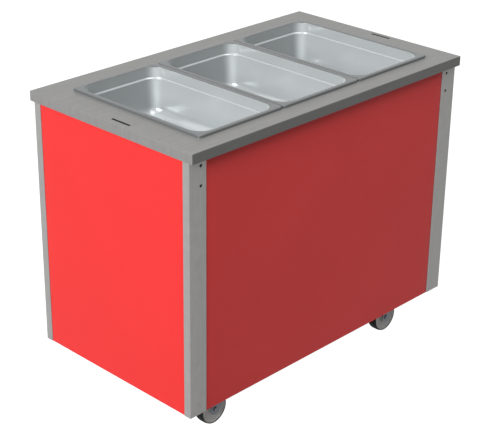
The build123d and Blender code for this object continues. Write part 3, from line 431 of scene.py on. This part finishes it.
# The two slot and fascia tones below darken the slots' walls and the faces that look along Y, as painted
# shade
worktop = dict(halfX=580.0, halfY=340.0, top=920.0, fascia=30.0, sheet=1.5, edge=2.0, corner=2.5, hem=15.0,
               hemCorner=1.0, leastCorner=0.6, bendReach=8.0, wellX=484.0, wellY=256.0, wellCorner=20.0,
               wellCentreY=-10.0, lip=11.5, lipBend=1.5, slotX=558.0, slotY=-35.5, slotWide=8.0,
               slotLong=75.0, slotCorner=2.0, cutReach=6.0, nearSlot=0.5, steep=0.5, slotPaintedShade=0.1,
               fasciaPaintedShade=0.5)


def makeWorktop(p):
    # two bent sections, one round the well and one round the outside, with a flat between them
    well, wellNormals = bentPath([(0, -p["lip"]), (0, 0), (p["bendReach"], 0)], p["lipBend"])
    rim, rimNormals = bentPath([(-p["bendReach"], 0), (0, 0), (0, -p["fascia"])], p["edge"])
    wellUnder = well + wellNormals * p["sheet"]
    rimUnder = (rim + rimNormals * p["sheet"])[::-1]
    rimUnder[0, 1] = -p["fascia"] + p["sheet"]

    def wellRows(path):
        return ringRows(p["wellX"] + path[:, 0], p["wellY"] + path[:, 0], p["wellCorner"] + path[:, 0],
                        0, p["wellCentreY"], p["top"] + path[:, 1])

    def rimRows(path):
        return ringRows(p["halfX"] + path[:, 0], p["halfY"] + path[:, 0],
                        np.maximum(p["corner"] + path[:, 0], p["leastCorner"]), 0, 0, p["top"] + path[:, 1])

    bottom = p["top"] - p["fascia"]
    hem = ringRows([p["halfX"] - p["sheet"]] * 2, [p["halfY"] - p["hem"]] * 2, [p["hemCorner"]] * 2, 0, 0,
                   [bottom, bottom + p["sheet"]])
    rows = np.concatenate([wellRows(well), rimRows(rim), hem, rimRows(rimUnder), wellRows(wellUnder[::-1])])
    thing = newObject("worktopSheet", rows, gridFaces(len(rows), rows.shape[1], closedRows=True))
    cutters = []
    for side in (-1, 1):
        slot = ringRows([p["slotWide"] / 2] * 2, [p["slotLong"] / 2] * 2, [p["slotCorner"]] * 2,
                        side * p["slotX"], p["slotY"], [p["top"] - p["cutReach"], p["top"] + p["cutReach"]])
        cutters.append(newObject("slotCutter", *closedShell(slot, slot[0].mean(0), slot[-1].mean(0))))
    cutBy(thing, cutters)
    paintWorktopShade(thing, p)
    addGrain(thing, False)
    return addPiece(thing, "worktop_steel", "root", "worktop")


def paintWorktopShade(thing, p):
    # painted shade: the steep faces of the slots go dark, and so do the faces that look along Y, the long
    # fascias among them
    facing = np.abs(perFace(thing, "normal"))
    middle = perFace(thing, "center") / mm
    inX = np.abs(np.abs(middle[:, 0]) - p["slotX"]) < p["slotWide"] / 2 + p["nearSlot"]
    inY = np.abs(middle[:, 1] - p["slotY"]) < p["slotLong"] / 2 + p["nearSlot"]
    slotShadeMask = inX & inY & (facing[:, 2] < p["steep"])
    addPaintedLightTone(thing, np.select([slotShadeMask, facing[:, 1] > axisShare], [p["slotPaintedShade"], p["fasciaPaintedShade"]], 1.0))


makeWorktop(worktop)
print("worktop built")


# Gastronorm pans

pan = dict(halfX=150.0, halfY=252.5, corner=48.0, leastCorner=6.0, top=928.5, deep=149.0, sheet=1.0,
           rimWide=12.5, rimDrop=8.5, rimCorner=11.0, rimFrom=6.0, mouth=1.0, shoulder=35.0, step=4.0,
           ledge=1.2, ledgeHalf=1.5, highDraft=1.0, lowDraft=2.5, floorEdge=75.0, floorBend=30.0,
           ledgeBend=2.4, mouthBend=3.0, rimBend=2.5, centreY=-10.0, pitch=328.0, belly=0.8, bellyFrom=8.0)
# How the pans are toned: the rim and ledge darker, painted light on faces that look up and to -X, painted
# shade on faces that look to -Y, and a painted highlight down the corners
panToneAndPaintedLight = dict(rim=0.36, rimDown=2.2, rimOut=0.5, ledge=0.95, ledgeNear=2.5, paintedFloorLight=0.3, paintedLitSideLight=0.1,
               paintedBackShade=0.34, paintedCornerHighlight=0.4)


def panSection(p):
    # from the middle of the floor out, up the wall, over the ledge of the shoulder, out and down the rim:
    # a wall stands in from the rim by mouth + tan(draft) x its height, and below the shoulder by the step too
    wallFoot = -(p["mouth"] + p["step"] + math.tan(math.radians(p["lowDraft"])) * (p["deep"] - p["shoulder"]))
    wallHead = -(p["mouth"] + math.tan(math.radians(p["highDraft"])) * p["shoulder"])
    corners = [(-p["floorEdge"], -p["deep"]), (wallFoot, -p["deep"]),
               (-(p["ledge"] + p["step"]), -p["shoulder"] - p["ledgeHalf"]),
               (wallHead, -p["shoulder"] + p["ledgeHalf"]), (-p["mouth"], 0), (p["rimWide"], 0),
               (p["rimWide"], -p["rimDrop"])]
    bends = [p["floorBend"], p["ledgeBend"], p["ledgeBend"], p["mouthBend"], p["rimBend"]]
    path, normals = bentPath(corners, bends, steps=7)
    return np.concatenate([path, (path + normals * p["sheet"])[::-1]])


def makePan(name, x, p):
    # the section swept round a rounded rectangle, with walls that belly in by a parabola over the length
    out, height = panSection(p).T
    corner = np.where(out > p["rimFrom"], p["rimCorner"] - p["rimWide"] + out,
                      np.maximum(p["corner"] + out, p["leastCorner"]))
    rows = ringRows(p["halfX"] + out, p["halfY"] + out, corner, x, p["centreY"], p["top"] + height, steps=16)
    underLedge = rows[..., 2] < p["top"] - p["shoulder"] - p["bellyFrom"]
    bowed = underLedge & (rows[..., 2] > p["top"] - p["deep"] + p["floorBend"])
    along = np.clip(np.abs(rows[..., 1] - p["centreY"]) / p["halfY"], 0, 1)
    rows[..., 0] -= np.sign(rows[..., 0] - x) * np.where(bowed, p["belly"] * (1 - along ** 2), 0)
    floorMiddle = np.array([x, p["centreY"], p["top"] - p["deep"]])
    thing = newObject(f"{name}Drawn", *closedShell(rows, floorMiddle, floorMiddle - [0, 0, p["sheet"]]))
    tonePanAndPaintLight(thing, x, p, panToneAndPaintedLight)
    return addPiece(thing, "pan_steel", name, name)


def tonePanAndPaintLight(thing, x, p, t):
    # a darker rim and ledge, and inside them painted light and shade: one, plus painted light on faces that
    # look to +Z and -X and less painted shade on faces that look to -Y, each by the square of how far the
    # face looks that way, plus a painted highlight down the corners by (2 x normalX x normalY)^4
    facing = perFace(thing, "normal")
    middle = perFace(thing, "center") / mm
    outX = np.abs(middle[:, 0] - x) - p["halfX"]
    outY = np.abs(middle[:, 1] - p["centreY"]) - p["halfY"]
    onRim = (middle[:, 2] > p["top"] - t["rimDown"]) | (outX > t["rimOut"]) | (outY > t["rimOut"])
    onLedge = np.abs(middle[:, 2] - p["top"] + p["shoulder"]) < t["ledgeNear"]
    lit, back, up = np.clip(facing * [-1, -1, 1], 0, 1).T ** 2
    corner = (2 * facing[:, 0] * facing[:, 1]) ** 4
    paintedLightAndShade = 1 + t["paintedFloorLight"] * up + t["paintedLitSideLight"] * lit - t["paintedBackShade"] * back + t["paintedCornerHighlight"] * corner
    addPaintedLightTone(thing, np.select([onRim, onLedge], [t["rim"], t["ledge"]], paintedLightAndShade))


for i, name in enumerate(("pan_left", "pan_centre", "pan_right")):
    makePan(name, (i - 1) * pan["pitch"], pan)
print("pans built")


# Bars between the pans

bars = dict(half=10.0, high=12.0, bend=1.6, sheet=1.5, top=920.0, yLow=-266.0, yHigh=246.0,
            xs=(-164.0, 164.0))


def makeBars(p):
    # a channel with its back up for each bar, both in one mesh
    def strip(x):
        corners = [(-p["half"], -p["high"]), (-p["half"], 0), (p["half"], 0), (p["half"], -p["high"])]
        return foldedStrip(corners, p["bend"], p["sheet"], [p["yLow"], p["yHigh"]],
                           lambda u, v, w: np.stack([x + u, w, p["top"] + v], -1))

    thing = newObject("wellBars", *joined([strip(x) for x in p["xs"]]))
    addPiece(thing, "worktop_steel", "root", "pan_support_bars")
    addPaintedLightTone(thing, np.ones(len(thing.data.polygons)))
    addGrain(thing, False)


makeBars(bars)
print("bars built")


# The four corners of the body, by their names and the signs of X and Y
corners = [(f"{rowName}_{sideName}", sideX, sideY) for rowName, sideY in (("customer", -1), ("operator", 1))
           for sideName, sideX in (("left", -1), ("right", 1))]


# Corner posts

posts = dict(x=577.0, y=324.0, wide=64.0, narrow=26.0, fold=14.0, bend=2.0, sheet=1.5, low=105.0, high=918.5,
             rows=25, holeX=534.0, holeRadius=4.5, holeReach=6.0, holeSteps=40, holes=(871.0, 813.0))


def makePost(name, sideX, sideY, p):
    # a wide and a narrow face with a return on each, mirrored into its corner, and holes on the customer side
    inX, inY = p["x"] - p["wide"], p["y"] - p["narrow"]
    outline = [(inX, p["y"] - p["fold"]), (inX, p["y"]), (p["x"], p["y"]), (p["x"], inY),
               (p["x"] - p["fold"], inY)]
    points, faces = foldedStrip(outline, p["bend"], p["sheet"], np.linspace(p["low"], p["high"], p["rows"]),
                                lambda u, v, w: np.stack([sideX * u, sideY * v, w], -1))
    thing = newObject(f"{name}Folded", points, faces)
    if sideY < 0:
        cutBy(thing, [holeCutter((sideX * p["holeX"], sideY * p["y"], z), p) for z in p["holes"]])
    addGrain(thing, True)
    return addPiece(thing, "post_steel", "root", name)


def holeCutter(place, p):
    # a rod along Y through the post's face
    ends = np.array([(p["holeRadius"], -p["holeReach"]), (p["holeRadius"], p["holeReach"])])
    rod, quads = spun(ends, place, (0, 1, 0), p["holeSteps"])
    caps = [list(range(p["holeSteps"])), list(range(p["holeSteps"], 2 * p["holeSteps"]))]
    return newObject("holeCutter", rod, quads[:p["holeSteps"]] + caps)


for name, sideX, sideY in corners:
    makePost(f"post_{name}", sideX, sideY, posts)
print("posts built")


# Side panels

panels = dict(longHalf=513.0, longFace=322.0, endHalf=298.0, endFace=575.0, fold=12.0, bend=1.6, sheet=1.2,
              low=105.0, high=918.5, bulge=0.35, rows=33, spacing=30.0, flangeGap=0.4)


def makePanel(name, half, face, slotName, turn, p):
    # a folded sheet whose face bulges by a cosine over its width and a sine over its height, set on its side
    # of the body by turn: x = u * turn[0] + out * turn[1] and y = u * turn[2] + out * turn[3]
    outline = [(-half, -p["fold"]), (-half, 0), (half, 0), (half, -p["fold"])]

    def place(u, v, w):
        rise = (w - p["low"]) / (p["high"] - p["low"])
        swell = p["bulge"] * np.cos(np.pi * np.clip(u / half, -1, 1) / 2) * np.sin(np.pi * rise)
        out = face + v + np.where(v > -2 * p["sheet"], swell, 0)
        return np.stack([u * turn[0] + out * turn[1], u * turn[2] + out * turn[3], w], -1)

    heights = np.linspace(p["low"], p["high"], p["rows"])
    skin = foldedStrip(outline, p["bend"], p["sheet"], heights, place, p["spacing"])
    flange, sides = slab((-half + p["sheet"], -p["fold"], p["low"]),
                         (half - p["sheet"], -p["sheet"] - p["flangeGap"], p["low"] + p["sheet"]))
    points, faces = joined([skin, (place(*flange.T), sides)])
    return addPiece(newObject(f"{name}Folded", points, faces), slotName, "root", name)


makePanel("customer_panel", panels["longHalf"], panels["longFace"], "panel_dark_red", (1, 0, 0, -1), panels)
makePanel("end_panel_left", panels["endHalf"], panels["endFace"], "panel_red", (0, -1, 1, 0), panels)
makePanel("end_panel_right", panels["endHalf"], panels["endFace"], "panel_red", (0, 1, 1, 0), panels)
print("panels built")


# Caster wheels and tyres

casters = dict(x=397.0, y=255.0, trail=33.0, radius=50.0, tyre=4.0, crown=2.0, half=16.0, web=12.0, rim=6.0,
               slope=2.0, side=15.0, hub=14.0, hubHalf=17.7, bore=5.05,
               wheelBends=(0.5, 1.2, 1.2, 1.0, 0.8, 0.3), groove=0.7, grooveAt=6.5, grooveHalf=0.7,
               treadPoints=65, tyreSteps=96)


def wheelProfile(p):
    # out along the hub's end, down to the web, up the inside of the rim and across it, then mirrored
    rimOut = p["radius"] - p["tyre"]
    rimIn = rimOut - p["rim"]
    face = [(p["bore"], 0), (p["bore"], p["hubHalf"]), (p["hub"], p["hubHalf"]),
            (p["hub"] + p["slope"], p["web"]), (rimIn, p["web"]), (rimIn + p["slope"], p["side"]),
            (rimOut, p["side"]), (rimOut, 0)]
    half = bentPath(face, p["wheelBends"], steps=4)[0]
    return np.vstack([half, half[-2:0:-1] * [1, -1]])


def tyreProfile(p):
    # tread radius = radius - crown x (share of the half width)^4 - groove x exp(-(distance from it)^4)
    rimOut = p["radius"] - p["tyre"]
    across = np.linspace(-p["half"], p["half"], p["treadPoints"])
    tread = p["radius"] - p["crown"] * (across / p["half"]) ** 4
    tread = tread - p["groove"] * np.exp(-((np.abs(across) - p["grooveAt"]) / p["grooveHalf"]) ** 4)
    return np.vstack([np.stack([tread, across], 1), [(rimOut, p["half"]), (rimOut, -p["half"])]])


def makeWheel(corner, sideX, sideY, p):
    # both profiles turned about the axle, which trails behind the kingpin
    body = f"caster_wheel_{corner}"
    centre = (sideX * p["x"] - p["trail"], sideY * p["y"], p["radius"])
    wheel = newObject(f"caster_wheel_{corner}Turned", *spun(wheelProfile(p), centre, (0, 1, 0)))
    addPiece(wheel, "wheel_grey", body, f"caster_wheel_{corner}")
    tyre = newObject(f"caster_tyre_{corner}Turned", *spun(tyreProfile(p), centre, (0, 1, 0), p["tyreSteps"]))
    addPiece(tyre, "tyre_black", body, f"caster_tyre_{corner}")


for name, sideX, sideY in corners:
    makeWheel(name, sideX, sideY, casters)
print("wheels built")


# CAD nodes, which are shown as they are unless a piece above replaces them

slotOf = {part["node"]: part["material_slot"] for part in frame["record"]["subparts"]}
# the face tone that these finishes read carries painted light and shade
needOwnGrain = ("worktop_steel", "pan_steel", "post_steel")  # these finishes need a piece's own UV or tone
ownLook = {"upright_socket_left": "raw_steel", "upright_socket_right": "raw_steel",
           "thermostat_knob": "knob_black"}
for name, node in frame["nodes"].items():
    look = ownLook.get(name, "plain_steel" if slotOf[name] in needOwnGrain else slotOf[name])
    node.data.materials.clear()
    node.data.materials.append(materials[look])
print("CAD nodes given materials:", len(frame["nodes"]))


# Floor, light and camera, in metres, watts and degrees

studio = dict(floorSize=60.0, floorGlow=1.0, floorShade=0.2, worldLevel=0.22, keyPlace=(-7.7, -0.9, 5.0),
              keySize=4.2, keyPower=750.0, keyAim=(0.0, 0.0, 0.45), topPlace=(0.3, -1.9, 4.9), topSize=3.2,
              topPower=84.0)
view = dict(yaw=45.74, pitch=24.83, roll=0.576, lens=104.87, sensor=36.0, place=(-2.8709, -2.7409, 2.2845))
white = (1, 1, 1, 1)


def lightPathSeen(tree):
    # one for a camera, glossy or transmission ray, else nought
    path = addNode(tree, "LightPath", {})
    first = mathNode(tree, "ADD", path.outputs["Is Camera Ray"], path.outputs["Is Glossy Ray"])
    return mathNode(tree, "ADD", first, path.outputs["Is Transmission Ray"], use_clamp=True)


def shadeFor(tree, unseen, seen, output):
    # one shader for the rays that see the surface or the sky directly and another for the light that bounces
    mix = addNode(tree, "MixShader", {"Fac": lightPathSeen(tree), 1: unseen.outputs[0], 2: seen.outputs[0]})
    setInputs(tree, tree.nodes[output], {"Surface": mix.outputs[0]})


def makeFloor(p):
    # glows for what sees it directly and stays a plain pale diffuse floor for the light that bounces
    mesh = bpy.data.meshes.new("floor")
    half = p["floorSize"] / 2
    places = [(-half, -half, 0), (half, -half, 0), (half, half, 0), (-half, half, 0)]
    mesh.from_pydata(places, [], [(0, 1, 2, 3)])
    floor = bpy.data.objects.new("floor", mesh)
    bpy.context.scene.collection.objects.link(floor)
    material, tree, shader = newMaterial("floorPale")
    tree.nodes.remove(shader)
    diffuse = addNode(tree, "BsdfDiffuse", {"Color": (p["floorShade"],) * 3 + (1,)})
    glow = addNode(tree, "Emission", {"Color": white, "Strength": p["floorGlow"]})
    both = addNode(tree, "AddShader", {0: diffuse.outputs[0], 1: glow.outputs[0]})
    shadeFor(tree, diffuse, both, "Material Output")
    mesh.materials.append(material)


def makeWorld(p):
    # white where it is seen, and a dim even fill for the light that bounces
    world = bpy.data.worlds.new("studio")
    bpy.context.scene.world = world
    world.use_nodes = True
    tree = world.node_tree
    fill = tree.nodes["Background"]
    setInputs(tree, fill, {"Color": white, "Strength": p["worldLevel"]})
    bright = addNode(tree, "Background", {"Color": white, "Strength": 1.0})
    shadeFor(tree, fill, bright, "World Output")


def addArea(name, place, aim, size, power):
    # a square light of a size in metres and a power in watts, turned to look at its aim
    light = bpy.data.lights.new(name, "AREA")
    light.shape = "SQUARE"
    light.size = size
    light.energy = power
    thing = bpy.data.objects.new(name, light)
    thing.location = place
    thing.rotation_euler = (Vector(aim) - Vector(place)).to_track_quat("-Z", "Y").to_euler()
    bpy.context.scene.collection.objects.link(thing)


def addCamera(p):
    # the photograph's view, fitted to the corners of the top, panels, posts and wheels: forward from yaw and
    # pitch, and right and up rolled about it
    yaw, pitch, roll = (math.radians(p[key]) for key in ("yaw", "pitch", "roll"))
    forward = Vector((math.sin(yaw) * math.cos(pitch), math.cos(yaw) * math.cos(pitch), -math.sin(pitch)))
    right = Vector((math.cos(yaw), -math.sin(yaw), 0))
    up = right.cross(forward)
    tiltedRight = right * math.cos(roll) + up * math.sin(roll)
    tiltedUp = up * math.cos(roll) - right * math.sin(roll)
    camera = bpy.data.cameras.new("camera")
    camera.sensor_fit = "HORIZONTAL"
    camera.sensor_width = p["sensor"]
    camera.lens = p["lens"]
    thing = bpy.data.objects.new("camera", camera)
    turned = Matrix((tiltedRight, tiltedUp, -forward)).transposed().to_4x4()
    thing.matrix_world = Matrix.Translation(p["place"]) @ turned
    bpy.context.scene.collection.objects.link(thing)
    bpy.context.scene.camera = thing


makeFloor(studio)
makeWorld(studio)
addArea("key", studio["keyPlace"], studio["keyAim"], studio["keySize"], studio["keyPower"])
addArea("overhead", studio["topPlace"], studio["keyAim"], studio["topSize"], studio["topPower"])
addCamera(view)
bpy.context.scene.view_settings.view_transform = "Standard"
print("studio ready")
